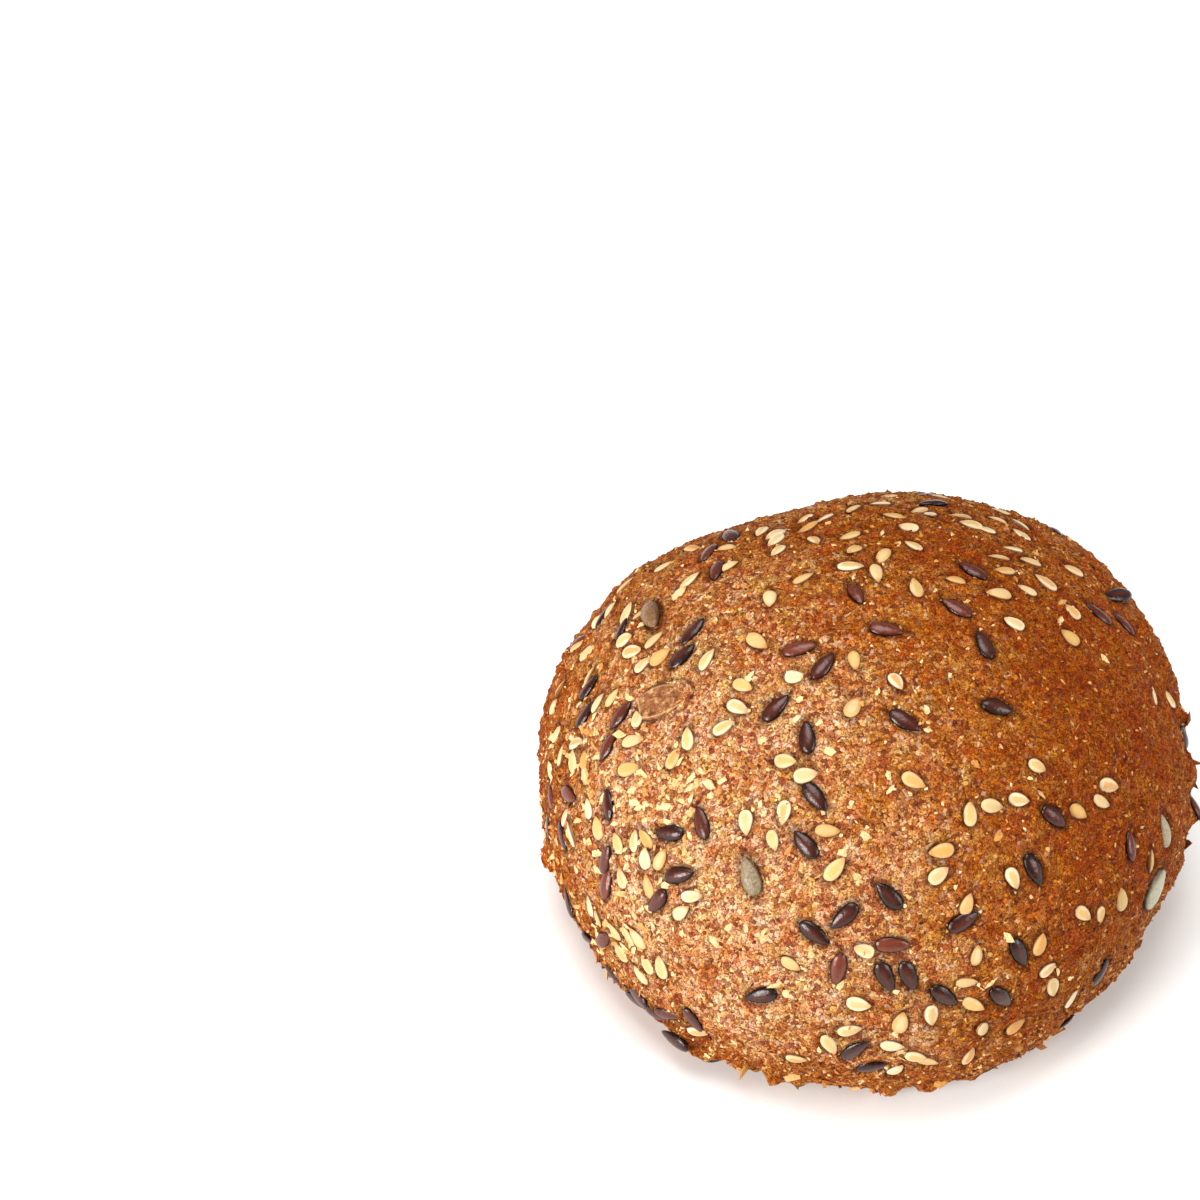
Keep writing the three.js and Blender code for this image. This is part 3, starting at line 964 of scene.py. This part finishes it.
def flake_object(name, tree, places, random, material, lengths, slimness=0.65, tilt=0.3, tones=(0, 1)):
    """Small irregular scales that lie on the crust and stick up a little at one side."""
    sides = FLAKE_SIDES
    count = len(places)
    spots = [surface_at(tree, bearing, rise) for bearing, rise in places]
    points, outs = np.array([point for point, _ in spots]), np.array([out for _, out in spots])
    tilted = outs + tilt * random.normal(size=outs.shape)
    tilted /= np.linalg.norm(tilted, axis=1, keepdims=True)
    along = np.cross(tilted, random.normal(size=outs.shape))
    along /= np.linalg.norm(along, axis=1, keepdims=True)
    across = np.cross(tilted, along)
    length = random.uniform(lengths[0] * MM, lengths[1] * MM, count)
    angle = np.linspace(0, 2 * math.pi, sides, endpoint=False)
    angle = angle + random.uniform(-0.4, 0.4, (count, sides))
    reach = length[:, None] / 2 * random.uniform(0.7, 1.2, (count, sides))
    edge = points[:, None] + (reach * np.cos(angle))[..., None] * along[:, None]
    edge = edge + (slimness * reach * np.sin(angle))[..., None] * across[:, None]
    crown = points + tilted * (CROWN_SHARE * slimness * length)[:, None]
    root = points - tilted * (ROOT_SHARE * slimness * length)[:, None]
    vertices = np.concatenate([edge, crown[:, None], root[:, None]], axis=1).reshape(-1, 3)
    vertices[:, 2] = np.maximum(vertices[:, 2], 0)
    fan = [(k, (k + 1) % sides, sides) for k in range(sides)]
    fan += [((k + 1) % sides, k, sides + 1) for k in range(sides)]
    faces = (np.arange(count)[:, None, None] * (sides + 2) + np.array(fan)).reshape(-1, 3)
    thing = make_object(name, vertices, faces.tolist(), material, smooth=False)
    tone = random.uniform(*tones, count) + PALE_CRUST_SHARE * (0.5 - toast_and_sheen_of(outs))
    add_values(thing, "tone", np.repeat(tone, sides + 2))
    return thing


# ---- The roll ----

SUNFLOWER_TONES = [(0.0, rgb(60, 42, 24)), (0.5, rgb(104, 86, 58)), (1.0, rgb(158, 140, 106))]
GOLDEN_KERNEL_TONES = [(0.0, rgb(96, 60, 24)), (0.5, rgb(142, 98, 46)), (1.0, rgb(188, 150, 96))]
SMALL_PUMPKIN_TONES = [(0.0, rgb(112, 104, 76)), (0.5, rgb(156, 150, 118)), (1.0, rgb(196, 190, 160))]


def add_crust(rough, quads, seats, toast_and_sheen):
    """The crust's one piece, in place of the CAD roll. Returns its finished vertices."""
    vertices, seed_gap_shade, under = finish_crust(rough, quads, seats)
    crust = make_object("crust", vertices, quads, crust_material())
    add_values(crust, "toast_and_sheen", toast_and_sheen)
    add_values(crust, "seed_gap_shade", seed_gap_shade)
    add_values(crust, "under", under)
    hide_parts("roll")
    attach(crust, "root")
    return vertices


def add_seeds(seats, random):
    """One piece for each kind of seed, in place of the CAD seeds of that kind."""
    names = {
        "sesame": "sesame_seeds",
        "linseed": "linseeds",
        "sunflower": "sunflower_kernels",
        "pumpkin": "pumpkin_seeds",
        "golden_kernel": "golden_kernels",
        "small_pumpkin": "small_pumpkin_seeds",
    }
    shapes = {
        "sesame": seed_shape(14, 18, 0.8, 2.3),
        "linseed": seed_shape(13, 16, 0.7, 1.7),
        "sunflower": seed_shape(13, 14, 0.85, 1.8),
        "pumpkin": seed_shape(15, 20, 0.75, 2.4),
        "golden_kernel": seed_shape(13, 16, 0.7, 2.0),
        "small_pumpkin": seed_shape(15, 20, 0.75, 2.4),
    }
    materials = {
        "sesame": sesame_material(),
        "linseed": linseed_material(),
        "sunflower": kernel_material("sunflower_kernel", SUNFLOWER_TONES),
        "pumpkin": crusted_material(),
        "golden_kernel": kernel_material("golden_kernel", GOLDEN_KERNEL_TONES),
        "small_pumpkin": kernel_material("pumpkin_seed", SMALL_PUMPKIN_TONES),
    }
    for kind, name in names.items():
        bend = SESAME_BEND if kind == "sesame" else OTHER_BEND
        thing = seed_object(name, shapes[kind], seats[kind], materials[kind], random, bend)
        if kind in CAD_NAMES:
            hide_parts(*[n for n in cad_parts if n.startswith(CAD_NAMES[kind])])
        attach(thing, "root")


def add_flakes(tree, random):
    """The flakes, husks and crumbs that lie on the crust."""
    material = bran_material()
    for name, settings in FLAKE_PIECES.items():
        settings = dict(settings)
        places = settings.pop("places", None)
        if places is None:
            bands = settings.pop("bands")
            places = np.concatenate([band_places(random, *band) for band in bands])
        flakes = flake_object(name, tree, places, random, material, **settings)
        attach(flakes, "root")


def build_roll():
    """The crust, the seeds that lie in it and the flakes on it."""
    vertices, quads = bare_crust()
    normals = vertex_normals(vertices, quads)
    vertices = add_lumps(vertices, normals, quads)
    tree = BVHTree.FromPolygons(vertices.tolist(), quads.tolist())
    seats = lay_seeds(tree)
    low = np.clip(1 - vertices[:, 2] / LOW_HEIGHT, 0, 1)
    toast_and_sheen = np.clip(toast_and_sheen_of(normals) + LOW_TOAST * low, 0, 1)
    vertices = add_crust(vertices, quads, seats, toast_and_sheen)
    random = np.random.default_rng(7)
    add_seeds(seats, random)
    add_flakes(BVHTree.FromPolygons(vertices.tolist(), quads.tolist()), random)


# ---- Stage ----

FLOOR_HALF_WIDTH = 1.5
FLOOR_TONES = [(0.0, (0.86, 0.86, 0.85)), (1.0, (0.9, 0.9, 0.89))]

# Each light's place, width, power and colour. All aim at the roll.
LIGHTS = {
    "key": ((-0.55, -0.42, 0.26), 0.3, 7.0, (1.0, 0.95, 0.92)),
    "top": ((-0.1, 0.1, 0.75), 0.5, 5.0, (1, 1, 1)),
    "fill": ((0.6, -0.28, 0.38), 0.4, 3.5, (1, 1, 1)),
}
LIGHTS_AIM = Vector((0, 0, 0.03))
SURROUNDING_LIGHT = 0.35

# The camera looks along +Y and down by half a right angle.
CAMERA_PLACE = (-0.0414, -0.27425, 0.3318)
CAMERA_TILT = math.radians(45)
CAMERA_LENS = 80


def area_light(name, place, size, power, colour):
    light = bpy.data.lights.new(name, "AREA")
    light.size = size
    light.energy = power
    light.color = colour
    thing = bpy.data.objects.new(name, light)
    thing.location = place
    thing.rotation_euler = (LIGHTS_AIM - Vector(place)).to_track_quat("-Z", "Y").to_euler()
    bpy.context.scene.collection.objects.link(thing)


def floor_material():
    s = Shading("pale_floor")
    grain = s.noise(s.node("TexCoord").outputs["Object"], 30 * MM, 2).outputs["Fac"]
    s.put(s.surface, "Base Color", s.ramp(grain, FLOOR_TONES))
    s.surface.inputs["Roughness"].default_value = 0.7
    return s.material


def build_stage():
    half = FLOOR_HALF_WIDTH
    corners = [(-half, -half, 0), (half, -half, 0), (half, half, 0), (-half, half, 0)]
    floor = make_object("floor", corners, [(0, 1, 2, 3)], floor_material())
    for name, settings in LIGHTS.items():
        area_light(name, *settings)
    world = bpy.data.worlds.new("studio")
    world.use_nodes = True
    world.node_tree.nodes["Background"].inputs["Color"].default_value = (1, 1, 1, 1)
    world.node_tree.nodes["Background"].inputs["Strength"].default_value = SURROUNDING_LIGHT
    bpy.context.scene.world = world
    bpy.context.scene.view_settings.view_transform = "Standard"


def build_camera():
    camera = bpy.data.cameras.new("camera")
    camera.lens = CAMERA_LENS
    camera.sensor_width = 36
    camera.clip_start = 0.01
    thing = bpy.data.objects.new("camera", camera)
    thing.location = CAMERA_PLACE
    thing.rotation_euler = (CAMERA_TILT, 0, 0)
    bpy.context.scene.collection.objects.link(thing)
    bpy.context.scene.camera = thing


build_stage()
build_camera()
build_roll()
